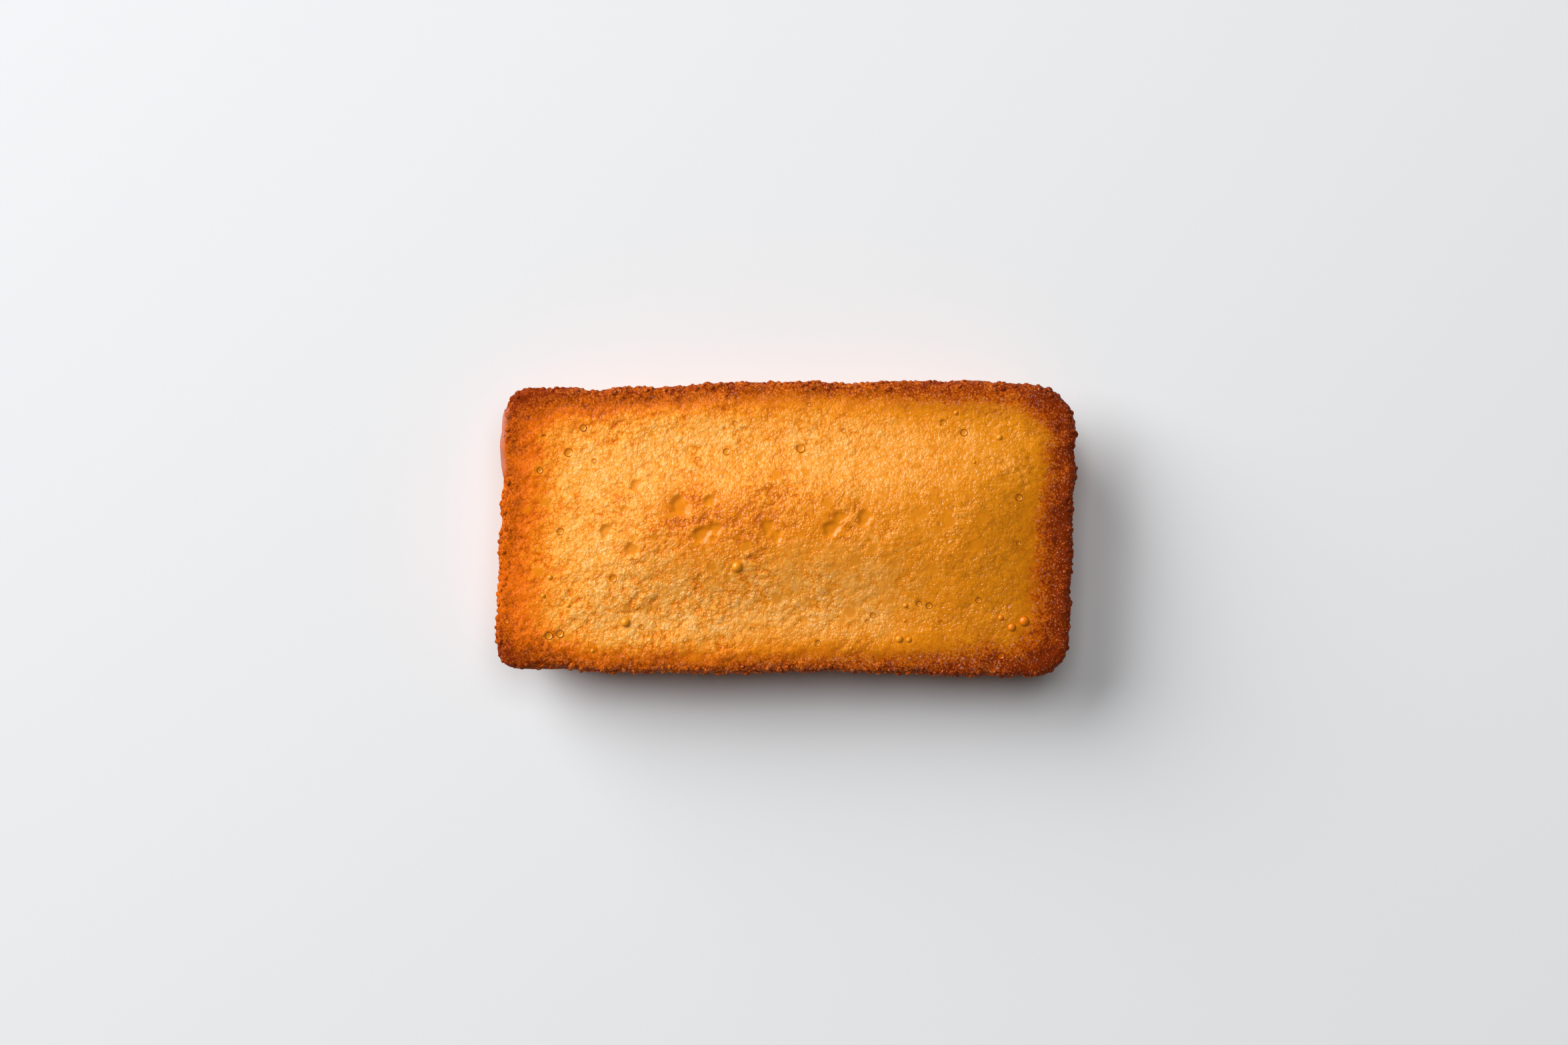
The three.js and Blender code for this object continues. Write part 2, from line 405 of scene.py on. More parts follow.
class FinancierStage(bpy.types.PropertyGroup):
    """Floor, light and camera."""

    floor: FloatVectorProperty(
        name="Floor", description="Colour of the plain floor", subtype="COLOR",
        default=linear("E8EAEC"))
    key_power: FloatProperty(
        name="Key power", description="Power of the tall soft light behind the left end",
        default=39.5, unit="POWER")
    key_width: FloatProperty(
        name="Key width", description="Width of the tall soft light", default=1.42, unit="LENGTH")
    key_height: FloatProperty(
        name="Key height", description="Height of the tall soft light", default=1.42, unit="LENGTH")
    key_azimuth: FloatProperty(
        name="Key azimuth", description="Where the tall light stands, anticlockwise from +X",
        default=math.radians(144), subtype="ANGLE")
    key_elevation: FloatProperty(
        name="Key elevation", description="How high the middle of the tall light stands",
        default=math.radians(31), subtype="ANGLE")
    top_power: FloatProperty(
        name="Top power", description="Power of the soft light overhead", default=5.0, unit="POWER")
    top_size: FloatProperty(
        name="Top size", description="Side of the soft light overhead", default=0.64, unit="LENGTH")
    fill: FloatProperty(
        name="Fill", description="Strength of the even light from all round", default=0.04)
    lens: FloatProperty(
        name="Lens", description="Focal length of the camera in millimetres", default=100.0)


# Skin over the solid

def cake_solid():
    """A search tree over the CAD cake's faces."""
    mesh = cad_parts[CAKE].data
    points = [vertex.co for vertex in mesh.vertices]
    faces = [tuple(polygon.vertices) for polygon in mesh.polygons]
    return BVHTree.FromPolygons(points, faces)


def side_hits(solid, starts, targets, height):
    """Where the solid's side lies at a height, looked at from each start towards its target."""
    hits = []
    for start, target in zip(starts, targets):
        ray = Vector((target[0] - start[0], target[1] - start[1], 0))
        hit = solid.ray_cast(Vector((start[0], start[1], height)), ray)[0]
        if hit is None:
            raise RuntimeError("a ray missed the side of the cake")
        hits.append(hit[:2])
    return np.array(hits)


def resample(points, count):
    """Spread count points evenly along an open line of points."""
    steps = np.linalg.norm(np.diff(points, axis=0), axis=1)
    along = np.concatenate([[0], np.cumsum(steps)])
    wanted = np.linspace(0, along[-1], count)
    return np.stack([np.interp(wanted, along, points[:, k]) for k in (0, 1)], axis=1)


def rim_sides(solid):
    """The rim as four lines between its corners, each running left to right or front to back."""
    turn = np.linspace(0, 2 * math.pi, RIM_RAYS, endpoint=False)
    starts = np.stack([RIM_RAY_OVAL[0] * np.cos(turn), RIM_RAY_OVAL[1] * np.sin(turn)], axis=1)
    rim = side_hits(solid, starts, keel_points(0.7 * starts), RIM_HEIGHT)
    corners = [int(np.argmax(rim @ np.array(way))) for way in ((-1, -1), (1, -1), (1, 1), (-1, 1))]
    lines = []
    for k, corner in enumerate(corners):
        span = (corners[(k + 1) % 4] - corner) % len(rim)
        lines.append(np.roll(rim, -corner, axis=0)[:span + 1])
    counts = (TOP_ALONG + 1, TOP_ACROSS + 1, TOP_ALONG + 1, TOP_ACROSS + 1)
    front, right, back, left = (resample(line, count) for line, count in zip(lines, counts))
    return {"front": front, "right": right, "back": back[::-1], "left": left[::-1]}


def top_plan(front, right, back, left):
    """A grid of points inside the rim, blended from its four sides."""
    u = np.linspace(0, 1, TOP_ALONG + 1)[None, :, None]
    v = np.linspace(0, 1, TOP_ACROSS + 1)[:, None, None]
    between = (1 - v) * front[None] + v * back[None] + (1 - u) * left[:, None] + u * right[:, None]
    corners = ((1 - u) * (1 - v) * front[0] + u * (1 - v) * front[-1]
               + (1 - u) * v * back[0] + u * v * back[-1])
    return between - corners


def softened(heights, passes):
    """Average each height with its neighbours, several times over, with the edge held."""
    soft = heights.copy()
    for _ in range(passes):
        middle = (soft[:-2, 1:-1] + soft[2:, 1:-1] + soft[1:-1, :-2] + soft[1:-1, 2:]) / 4
        soft[1:-1, 1:-1] = middle
    return soft


def top_heights(solid, plan, inward):
    """Height of the baked top over each point of the grid, with the solid's facets smoothed away."""
    heights = np.full(plan.shape[:2], RIM_HEIGHT)
    down = Vector((0, 0, -1))
    for row in range(1, TOP_ACROSS):
        for column in range(1, TOP_ALONG):
            x, y = plan[row, column]
            hit = solid.ray_cast(Vector((x, y, 2 * CAD_HIGH.z)), down)[0]
            heights[row, column] = hit.z
    soft = softened(heights, SMOOTHING_PASSES)
    ending = smooth_step(np.abs(plan[..., 0]), *ENDING_ALONG) * smooth_step(inward, *ENDING_INWARD)
    soft += ending * (softened(soft, ENDING_PASSES) - soft)
    share = smooth_step(inward, *SMOOTHING_INWARD)
    return heights + share * (soft - heights)


def nearest_distance(points, line):
    """Distance from each point to the nearest point of a line."""
    tree = KDTree(len(line))
    for k, point in enumerate(line):
        tree.insert((point[0], point[1], 0), k)
    tree.balance()
    flat = points.reshape(-1, 2)
    found = [tree.find((x, y, 0))[2] for x, y in flat]
    return np.array(found).reshape(points.shape[:-1])


def ring_order(grid):
    """The edge of a grid, anticlockwise from its front left corner."""
    return np.concatenate([grid[0, :-1], grid[:-1, -1], grid[-1, :0:-1], grid[:0:-1, 0]])


def keel_points(points):
    """The nearest point to each on the line along the middle of the base."""
    return np.stack([np.clip(points[:, 0], -KEEL_HALF, KEEL_HALF), 0 * points[:, 1]], axis=1)


def sunken_spots():
    """Every smooth spot on the top: x, y, radius and depth in millimetres, how calm it is, and its edge."""
    spots = [(*dimple, 0.8, DIMPLE_EDGE) for dimple in DIMPLES]
    spots += [(x, y, radius, SKIN_DEPTH, 0.9, SPOT_EDGE) for x, y, radius in AMBER_SKINS]
    spots += [(x, y, 1.05 * radius, CUP_PIT * radius, 1.0, SPOT_EDGE) for x, y, radius in CUPS]
    spots += [(x, y, 1.25 * radius, SKIN_DEPTH, 1.0, SPOT_EDGE) for x, y, radius in BLISTERS]
    rng = np.random.default_rng(STRAY_SEED)
    for _ in range(STRAY_SKINS):
        x = rng.triangular(*STRAY_ALONG)
        y = rng.uniform(-STRAY_ACROSS, STRAY_ACROSS)
        spots.append((x, y, rng.uniform(*STRAY_RADII), STRAY_DEPTH, 0.8, SPOT_EDGE))
    return spots


def press_bubbles(plan, heights):
    """Press the smooth spots into the top, and say where the crust is calm."""
    calm = np.zeros(heights.shape)
    for x, y, radius, depth, calmness, edge in sunken_spots():
        dx = plan[..., 0] - x * MM
        dy = plan[..., 1] - y * MM
        turn = np.arctan2(dy, dx)
        wobble = 1 + 0.12 * np.sin(2 * turn + x) + 0.08 * np.sin(3 * turn + y)
        wobble += 0.05 * np.sin(5 * turn + x + y)
        share = np.hypot(dx, dy) / (radius * MM * wobble)
        heights -= depth * MM * (1 - smooth_step(share, edge, 1.1))
        calm = np.maximum(calm, calmness * (1 - smooth_step(share, 0.7, 1.1)))
    return calm


def browning(plan, sides):
    """How far each point of the top browned, 0 pale and 1 the darkest, with some painted shade at the right
    end, and how much butter film it has.
    """
    x, y = plan[..., 0], plan[..., 1]
    spared = np.ones(x.shape)
    film = np.full(x.shape, PALE_FILM)
    for name, (strength, width, side_film) in BROWNED_SIDES.items():
        share = np.exp(-(nearest_distance(plan, sides[name]) / (width * MM)) ** 2)
        spared *= 1 - strength * share
        film += (side_film - film) * share ** FILM_SPREAD
    # Darker right end: partly browning, partly painted shade of the hump's end that turns away from the light
    share = np.exp(-(nearest_distance(plan, sides["right"]) / RIGHT_END_WIDTH) ** 2)
    paler = 1 - RIGHT_END_SPARED * smooth_step(y, *RIGHT_END_BACK)
    spared *= 1 - RIGHT_END_BAKE_AND_SHADE * paler * share
    for spot_x, spot_y, strength, reach in BROWNED_SPOTS:
        away = np.hypot(x - spot_x * MM, y - spot_y * MM)
        spared *= 1 - strength * np.exp(-(away / (reach * MM)) ** 2)
    along = smooth_step(x, *CREST_START) * (1 - smooth_step(x, *CREST_END))
    crest = CREST_BAKE * along * np.exp(-0.5 * ((y - CREST_MIDDLE) / CREST_SPREAD) ** 2)
    return 1 - spared * (1 - crest), film


def bare_share(plan, inward):
    """How much each point belongs to the bare stretch of the left rim."""
    y = plan[..., 1]
    starting = smooth_step(y, BARE_FROM, BARE_FROM + BARE_FADES[0])
    ending = smooth_step(y, BARE_TO - BARE_FADES[1], BARE_TO)
    inner = smooth_step(inward, 0.6 * BARE_WIDTH, BARE_WIDTH)
    return starting * (1 - ending) * (1 - inner) * (plan[..., 0] < LEFT_END)


def patchiness(plan):
    """How rough the crust is from patch to patch: about 1 at the left end, less towards the right."""
    flat = plan.reshape(-1, 2) / PATCH_SIZE
    patches = np.array([noise((x, y, 0.5)) for x, y in flat]).reshape(plan.shape[:2])
    smoother = 0.5 * smooth_step(plan[..., 0], *PATCH_SMOOTHING)
    return np.clip(1 - smoother + 0.6 * patches, 0.4, 1.3)


def top_marks(plan, inward, bake, film, calm, bare):
    """What the crust is like at each point of the top, by the names that the trees and materials read.

    bake is how far it browned, with some painted shade at the right end, calm where a bubble smoothed it,
    film its butter, bare where grains broke off, rough how strong its texture is, lift how far its relief
    stands out, grit where it is grainy, painted_glint_share where pale specks of painted glint show, and
    grains and crags how densely those are strewn.
    """
    lively = 1 - calm
    patches = patchiness(plan)
    grainy = smooth_step(bake, *GRAINY_BAKE) * (1 - smooth_step(inward, *GRIT_REACH))
    sparse = SPARSE_SHARE + (1 - SPARSE_SHARE) * smooth_step(plan[..., 0], *SPARSE_END)
    # Share of painted glints: pale specks that stand in for highlights on the grainy rim
    painted_glint_share = grainy * lively * sparse * (1 - smooth_step(inward, *PAINTED_GLINT_REACH))
    return {
        "bake": bake,
        "calm": calm,
        "film": np.maximum(film * (1 - 0.5 * grainy) * (1 - 0.5 * calm), BARE_FILM * bare),
        "bare": bare,
        "rough": lively * np.maximum(0.35 + 0.65 * patches, grainy),
        "lift": lively * np.maximum(patches, 0.7 * grainy),
        "grit": grainy * lively,
        "painted_glint_share": painted_glint_share,
        "grains": painted_glint_share * (1 - smooth_step(inward, *GRAIN_REACH)),
        "crags": (1 - smooth_step(inward, *CRAG_REACH)) * lively,
    }


def side_marks(share, rim_bake, rim_bare):
    """The same marks on the side, where share is 0 at the rim and 1 at the base."""
    fading = math.exp(-share * 9)
    bare = rim_bare * fading
    grainy = 1 - rim_bare
    strewn = max(0, 1 - share * 14)
    return {
        "bake": SIDE_BAKE + (rim_bake - SIDE_BAKE) * math.exp(-share * 5),
        "calm": np.maximum(0.4 * min(1, share * 8), bare),
        "film": np.maximum(WALL_FILM, BARE_FILM * bare),
        "bare": bare,
        "rough": 1.3 * (1 - bare),
        "lift": 0.7 * fading * grainy,
        "grit": math.exp(-share * 5) * grainy,
        # Painted glints on the grains near the top of the side
        "painted_glint_share": 0.7 * strewn * grainy,
        "grains": 0.7 * strewn * grainy,
        "crags": strewn * grainy,
    }


def skin_mesh(solid):
    """The whole skin as one closed mesh, with the marks of its crust as attributes."""
    sides = rim_sides(solid)
    plan = top_plan(**sides)
    rim = ring_order(plan)
    inward = nearest_distance(plan, rim)
    bake, film = browning(plan, sides)
    heights = top_heights(solid, plan, inward)
    bare = bare_share(plan, inward)
    calm = np.maximum(press_bubbles(plan, heights), bare)
    plan[..., 0] -= BARE_BULGE * bare

    index = np.arange(inward.size).reshape(inward.shape)
    points = [np.concatenate([plan.reshape(-1, 2), heights.reshape(-1, 1)], axis=1)]
    cells = (index[:-1, :-1], index[:-1, 1:], index[1:, 1:], index[1:, :-1])
    quads = [np.stack(cells, axis=-1).reshape(-1, 4)]
    marks = {name: [mark.ravel()] for name, mark in top_marks(plan, inward, bake, film, calm, bare).items()}

    def add_ring(upper, ring, level, ring_marks):
        start = sum(len(part) for part in points)
        lower = np.arange(start, start + len(ring))
        points.append(np.column_stack([ring, np.full(len(ring), level)]))
        quads.append(np.stack([upper, lower, np.roll(lower, -1), np.roll(upper, -1)], axis=-1))
        for name, mark in ring_marks.items():
            marks[name].append(np.broadcast_to(mark, len(ring)))
        return lower

    keel = keel_points(rim)
    outside = keel + WALL_RAY_REACH * (rim - keel)
    upper = ring_order(index)
    for share in (np.arange(1, WALL_ROWS + 1) / WALL_ROWS) ** WALL_ROW_CROWDING:
        height = max(RIM_HEIGHT * (1 - share), LOWEST_RAY)
        ring_marks = side_marks(share, ring_order(bake), ring_order(bare))
        ring = side_hits(solid, outside, keel, height)
        ring[:, 0] -= BARE_BULGE * ring_marks["bare"]
        upper = add_ring(upper, ring, 0.0 if share == 1 else height, ring_marks)
    foot = ring
    base_marks = dict.fromkeys(marks, 0.0)
    base_marks.update(bake=SIDE_BAKE, calm=0.7, film=WALL_FILM, rough=0.5)
    for inset in BASE_INSETS:
        ring = foot * (1 - inset / np.linalg.norm(foot, axis=1, keepdims=True))
        upper = add_ring(upper, ring, 0.0, base_marks)

    mesh = bpy.data.meshes.new("cake_skin")
    base = upper[::-1].tolist()
    mesh.from_pydata(np.concatenate(points).tolist(), [], [*np.concatenate(quads).tolist(), base])
    for name, parts in marks.items():
        mesh.attributes.new(name, "FLOAT", "POINT").data.foreach_set("value", np.concatenate(parts))
    mesh.shade_smooth()
    return mesh


# Relief and finish

def new_tree(name, inputs):
    """An empty Geometry Nodes tree with its sockets, and the outputs of its input node."""
    tree = bpy.data.node_groups.new(name, "GeometryNodeTree")
    tree.interface.new_socket("Geometry", in_out="OUTPUT", socket_type="NodeSocketGeometry")
    for label, kind in inputs.items():
        tree.interface.new_socket(label, in_out="INPUT", socket_type="NodeSocket" + kind)
    return tree, add_node(tree, "NodeGroupInput").outputs


def end_tree(tree, geometry, material):
    """Realize what a tree made, shade it smooth and give it its material."""
    solid = add_node(tree, "GeometryNodeRealizeInstances", {0: geometry}).outputs[0]
    smooth = add_node(tree, "GeometryNodeSetShadeSmooth", {
        "Geometry": solid, "Shade Smooth": True}).outputs[0]
    dressed = add_node(tree, "GeometryNodeSetMaterial", {
        "Geometry": smooth, "Material": material}).outputs[0]
    add_node(tree, "NodeGroupOutput", {"Geometry": dressed})


def relief_tree():
    """Geometry Nodes: raise broad wrinkles and small domed lumps out of a skin, as much as its lift says."""
    tree, start = new_tree("crust_relief", {
        "Geometry": "Geometry", "Wrinkle size": "Float", "Wrinkle height": "Float", "Lump size": "Float",
        "Lump height": "Float", "Seed": "Float", "Material": "Material"})
    place = add_node(tree, "GeometryNodeInputPosition").outputs[0]
    normal = add_node(tree, "GeometryNodeInputNormal").outputs[0]
    lift = add_node(tree, "GeometryNodeInputNamedAttribute", {"Name": "lift"}, data_type="FLOAT").outputs[0]

    slanted = add_node(tree, "ShaderNodeVectorRotate", {
        "Vector": place, "Angle": -WRINKLE_SLANT}, rotation_type="Z_AXIS").outputs[0]
    slanted = add_node(tree, "ShaderNodeVectorMath", {
        0: slanted, 1: (0.5, 1.0, 1.0)}, operation="MULTIPLY").outputs[0]
    scale = add_node(tree, "ShaderNodeMath", {
        0: 1.0, 1: start["Wrinkle size"]}, operation="DIVIDE").outputs[0]
    wrinkle = add_node(tree, "ShaderNodeTexNoise", {
        "Vector": slanted, "W": start["Seed"], "Scale": scale, "Detail": 1.5, "Distortion": 0.5},
        noise_dimensions="4D").outputs[0]
    wrinkle = add_node(tree, "ShaderNodeMath", {0: wrinkle, 1: 0.5}, operation="SUBTRACT").outputs[0]
    rise = add_node(tree, "ShaderNodeMath", {
        0: wrinkle, 1: start["Wrinkle height"]}, operation="MULTIPLY").outputs[0]

    scale = add_node(tree, "ShaderNodeMath", {0: 1.0, 1: start["Lump size"]}, operation="DIVIDE").outputs[0]
    stir = add_node(tree, "ShaderNodeTexNoise", {
        "Vector": place, "W": start["Seed"], "Scale": scale, "Detail": 1.0},
        noise_dimensions="4D").outputs["Color"]
    stir = add_node(tree, "ShaderNodeVectorMath", {
        0: stir, "Scale": start["Lump size"]}, operation="SCALE").outputs[0]
    stirred = add_node(tree, "ShaderNodeVectorMath", {0: place, 1: stir}, operation="ADD").outputs[0]
    away = add_node(tree, "ShaderNodeTexVoronoi", {"Vector": stirred, "Scale": scale}).outputs["Distance"]
    dip = add_node(tree, "ShaderNodeMath", {0: away, 1: away}, operation="MULTIPLY").outputs[0]
    dome = add_node(tree, "ShaderNodeMath", {0: 0.2, 1: dip}, operation="SUBTRACT").outputs[0]
    rise = add_node(tree, "ShaderNodeMath", {
        0: dome, 1: start["Lump height"], 2: rise}, operation="MULTIPLY_ADD").outputs[0]

    rise = add_node(tree, "ShaderNodeMath", {0: rise, 1: lift}, operation="MULTIPLY").outputs[0]
    offset = add_node(tree, "ShaderNodeVectorMath", {0: normal, "Scale": rise}, operation="SCALE").outputs[0]
    # How deep each point lies between the lumps, kept so that the crust's material can paint shade there
    dip = add_node(tree, "ShaderNodeMath", {0: dip, 1: lift}, operation="MULTIPLY").outputs[0]
    marked = add_node(tree, "GeometryNodeStoreNamedAttribute", {
        "Geometry": start["Geometry"], "Name": "dip", "Value": dip},
        data_type="FLOAT", domain="POINT").outputs[0]
    raised = add_node(tree, "GeometryNodeSetPosition", {"Geometry": marked, "Offset": offset})
    end_tree(tree, raised.outputs[0], start["Material"])
    return tree


def strewing_tree():
    """Geometry Nodes: strew flattened lumps over a skin, partly sunk in it and each tipped its own way."""
    tree, start = new_tree("strewn_lumps", {
        "Geometry": "Geometry", "Where": "String", "Spacing": "Float", "Smallest": "Float",
        "Largest": "Float", "Flatness": "Float", "Sink": "Float", "Tilt": "Float", "Sides": "Int",
        "Seed": "Int", "Material": "Material"})
    where = add_node(tree, "GeometryNodeInputNamedAttribute", {
        "Name": start["Where"]}, data_type="FLOAT").outputs[0]
    square = add_node(tree, "ShaderNodeMath", {
        0: start["Spacing"], 1: start["Spacing"]}, operation="MULTIPLY").outputs[0]
    density = add_node(tree, "ShaderNodeMath", {0: 2.5, 1: square}, operation="DIVIDE").outputs[0]
    strewn = add_node(tree, "GeometryNodeDistributePointsOnFaces", {
        "Mesh": start["Geometry"], "Distance Min": start["Spacing"], "Density Max": density,
        "Density Factor": where, "Seed": start["Seed"]}, distribute_method="POISSON").outputs

    width = add_node(tree, "FunctionNodeRandomValue", {
        2: start["Smallest"], 3: start["Largest"], "Seed": 1}, data_type="FLOAT").outputs[1]
    narrowing = add_node(tree, "FunctionNodeRandomValue", {
        2: 0.65, 3: 1.0, "Seed": 2}, data_type="FLOAT").outputs[1]
    breadth = add_node(tree, "ShaderNodeMath", {0: width, 1: narrowing}, operation="MULTIPLY").outputs[0]
    height = add_node(tree, "ShaderNodeMath", {
        0: breadth, 1: start["Flatness"]}, operation="MULTIPLY").outputs[0]
    size = add_node(tree, "ShaderNodeCombineXYZ", {"X": width, "Y": breadth, "Z": height}).outputs[0]
    depth = add_node(tree, "ShaderNodeMath", {0: height, 1: start["Sink"]}, operation="MULTIPLY").outputs[0]
    depth = add_node(tree, "ShaderNodeMath", {0: depth, 1: -1.0}, operation="MULTIPLY").outputs[0]
    offset = add_node(tree, "ShaderNodeVectorMath", {
        0: strewn["Normal"], "Scale": depth}, operation="SCALE").outputs[0]
    sunk = add_node(tree, "GeometryNodeSetPosition", {
        "Geometry": strewn["Points"], "Offset": offset}).outputs[0]
    tint = add_node(tree, "FunctionNodeRandomValue", {
        2: -1.0, 3: 1.0, "Seed": 3}, data_type="FLOAT").outputs[1]
    tinted = add_node(tree, "GeometryNodeStoreNamedAttribute", {
        "Geometry": sunk, "Name": "tint", "Value": tint}, data_type="FLOAT", domain="POINT").outputs[0]

    back = add_node(tree, "ShaderNodeMath", {0: start["Tilt"], 1: -1.0}, operation="MULTIPLY").outputs[0]
    least = add_node(tree, "ShaderNodeCombineXYZ", {"X": back, "Y": back, "Z": 0.0}).outputs[0]
    most = add_node(tree, "ShaderNodeCombineXYZ", {
        "X": start["Tilt"], "Y": start["Tilt"], "Z": 2 * math.pi}).outputs[0]
    tip = add_node(tree, "FunctionNodeRandomValue", {
        0: least, 1: most, "Seed": 4}, data_type="FLOAT_VECTOR").outputs[0]
    tip = add_node(tree, "FunctionNodeEulerToRotation", {0: tip}).outputs[0]
    turned = add_node(tree, "FunctionNodeRotateRotation", {
        "Rotation": strewn["Rotation"], "Rotate By": tip}, rotation_space="LOCAL").outputs[0]
    lump = add_node(tree, "GeometryNodeMeshUVSphere", {
        "Segments": start["Sides"], "Rings": 4, "Radius": 0.5}).outputs["Mesh"]
    lumps = add_node(tree, "GeometryNodeInstanceOnPoints", {
        "Points": tinted, "Instance": lump, "Rotation": turned, "Scale": size}).outputs[0]
    end_tree(tree, lumps, start["Material"])
    return tree


def bubble_tree():
    """Geometry Nodes: set a shape on the crust below each point, sized by the point's radius."""
    tree, start = new_tree("bubbles_on_crust", {
        "Geometry": "Geometry", "Crust": "Object", "Shape": "Object", "Material": "Material"})
    crust = add_node(tree, "GeometryNodeObjectInfo", {"Object": start["Crust"]}).outputs["Geometry"]
    shape = add_node(tree, "GeometryNodeObjectInfo", {"Object": start["Shape"]}).outputs["Geometry"]
    radius, bake = (
        add_node(tree, "GeometryNodeInputNamedAttribute", {"Name": name}, data_type="FLOAT").outputs[0]
        for name in ("radius", "bake"))
    below = add_node(tree, "GeometryNodeRaycast", {
        "Target Geometry": crust, "Attribute": bake, "Ray Direction": (0, 0, -1), "Ray Length": 0.05},
        data_type="FLOAT").outputs
    baked = add_node(tree, "GeometryNodeStoreNamedAttribute", {
        "Geometry": start["Geometry"], "Name": "bake", "Value": below["Attribute"]},
        data_type="FLOAT", domain="POINT").outputs[0]
    facing = add_node(tree, "GeometryNodeStoreNamedAttribute", {
        "Geometry": baked, "Name": "facing", "Value": below["Hit Normal"]},
        data_type="FLOAT_VECTOR", domain="POINT").outputs[0]
    down = add_node(tree, "GeometryNodeSetPosition", {
        "Geometry": facing, "Position": below["Hit Position"]}).outputs[0]
    normal = add_node(tree, "GeometryNodeInputNamedAttribute", {
        "Name": "facing"}, data_type="FLOAT_VECTOR").outputs[0]
    upright = add_node(tree, "FunctionNodeAlignRotationToVector", {"Vector": normal}, axis="Z").outputs[0]
    shapes = add_node(tree, "GeometryNodeInstanceOnPoints", {
        "Points": down, "Instance": shape, "Rotation": upright, "Scale": radius}).outputs[0]
    end_tree(tree, shapes, start["Material"])
    return tree


def bake_nodes(obj, tree, values):
    """Run a Geometry Nodes tree on an object and keep its result as a plain mesh."""
    modifier = obj.modifiers.new(tree.name, "NODES")
    modifier.node_group = tree
    for socket in tree.interface.items_tree:
        if socket.in_out == "INPUT" and socket.name in values:
            modifier[socket.identifier] = values[socket.name]
    depsgraph = bpy.context.evaluated_depsgraph_get()
    made = bpy.data.meshes.new_from_object(obj.evaluated_get(depsgraph), depsgraph=depsgraph)
    obj.modifiers.remove(modifier)
    obj.data = made
    return obj


def colour_ramp(tree, share, stops):
    """Colours that follow a share from 0 to 1."""
    ramp = add_node(tree, "ShaderNodeValToRGB", {"Fac": share})
    elements = ramp.color_ramp.elements
    while len(elements) < len(stops):
        elements.new(0.5)
    for element, (at, colour) in zip(elements, stops):
        element.position = at
        element.color = (*colour, 1)
    return ramp.outputs[0]


def crumb_patterns(tree, place, grit):
    """The stirred places of the crumb, the creases between its finest lumps, and its relief."""
    stir = add_node(tree, "ShaderNodeTexNoise", {
        "Vector": place, "Scale": 1 / STIR_SIZE, "Detail": 2.0}).outputs["Color"]
    stir = add_node(tree, "ShaderNodeVectorMath", {
        0: stir, "Scale": STIR_REACH}, operation="SCALE").outputs[0]
    stirred = add_node(tree, "ShaderNodeVectorMath", {0: place, 1: stir}, operation="ADD").outputs[0]
    creases = []
    for size in CRUMB_SIZES:
        away = add_node(tree, "ShaderNodeTexVoronoi", {
            "Vector": stirred, "Scale": 1 / size}).outputs["Distance"]
        creases.append(add_node(tree, "ShaderNodeMath", {0: away, 1: away}, operation="MULTIPLY").outputs[0])
    pores = add_node(tree, "ShaderNodeTexNoise", {
        "Vector": place, "Scale": 1 / PORE_SIZE, "Detail": 3.0, "Roughness": 0.55,
        "Distortion": 0.3}).outputs[0]
    speckle = add_node(tree, "ShaderNodeTexNoise", {
        "Vector": place, "Scale": 1 / SPECKLE_SIZE, "Detail": 1.0}).outputs[0]
    crumb = add_node(tree, "ShaderNodeMath", {
        0: creases[0], 1: -0.5, 2: pores}, operation="MULTIPLY_ADD").outputs[0]
    crumb = add_node(tree, "ShaderNodeMath", {
        0: speckle, 1: 0.6, 2: crumb}, operation="MULTIPLY_ADD").outputs[0]
    grains = add_node(tree, "ShaderNodeMath", {
        0: creases[1], 1: -0.7, 2: 0.75}, operation="MULTIPLY_ADD").outputs[0]
    relief = add_node(tree, "ShaderNodeMix", {0: grit, 2: crumb, 3: grains}).outputs[0]
    return stirred, creases[1], relief


def crumb_toast_and_shade(tree, place, marks, relief):
    """How dark each spot of the crust is painted, 0 to 1: browned and blotched, with painted shade in its
    creases and hollows and painted sheen on the tops of its lumps.
    """
    blotch = add_node(tree, "ShaderNodeTexNoise", {
        "Vector": place, "Scale": 1 / BLOTCH_SIZE, "Detail": 5.0, "Roughness": 0.7}).outputs[0]
    blotch = add_node(tree, "ShaderNodeMapRange", {
        "Value": blotch, "From Min": 0.3, "From Max": 0.7, "To Min": -0.06, "To Max": 0.06}).outputs[0]
    clumps = add_node(tree, "ShaderNodeMapRange", {
        "Value": marks["grit"], "To Min": 1.0, "To Max": 2.4}).outputs[0]
    blotch = add_node(tree, "ShaderNodeMath", {0: blotch, 1: clumps}, operation="MULTIPLY").outputs[0]
    # Painted shade and sheen: darker where the relief is low and in the hollows between lumps, lighter on the
    # lumps' tops
    shade = add_node(tree, "ShaderNodeMapRange", {
        "Value": relief, "From Min": 0.3, "From Max": 1.0, "To Min": 0.25, "To Max": -0.25}).outputs[0]
    shade = add_node(tree, "ShaderNodeMath", {
        0: marks["dip"], 1: 0.16, 2: shade}, operation="MULTIPLY_ADD").outputs[0]
    shade = add_node(tree, "ShaderNodeMath", {0: shade, 1: marks["rough"]}, operation="MULTIPLY").outputs[0]
    toast_and_shade = add_node(tree, "ShaderNodeMath", {0: marks["bake"], 1: blotch}, operation="ADD").outputs[0]
    toast_and_shade = add_node(tree, "ShaderNodeMath", {
        0: marks["tint"], 1: 0.06, 2: toast_and_shade}, operation="MULTIPLY_ADD").outputs[0]
    toast_and_shade = add_node(tree, "ShaderNodeMath", {0: toast_and_shade, 1: shade}, operation="ADD").outputs[0]
    return add_node(tree, "ShaderNodeMapRange", {"Value": toast_and_shade, "From Min": -0.2}).outputs[0]


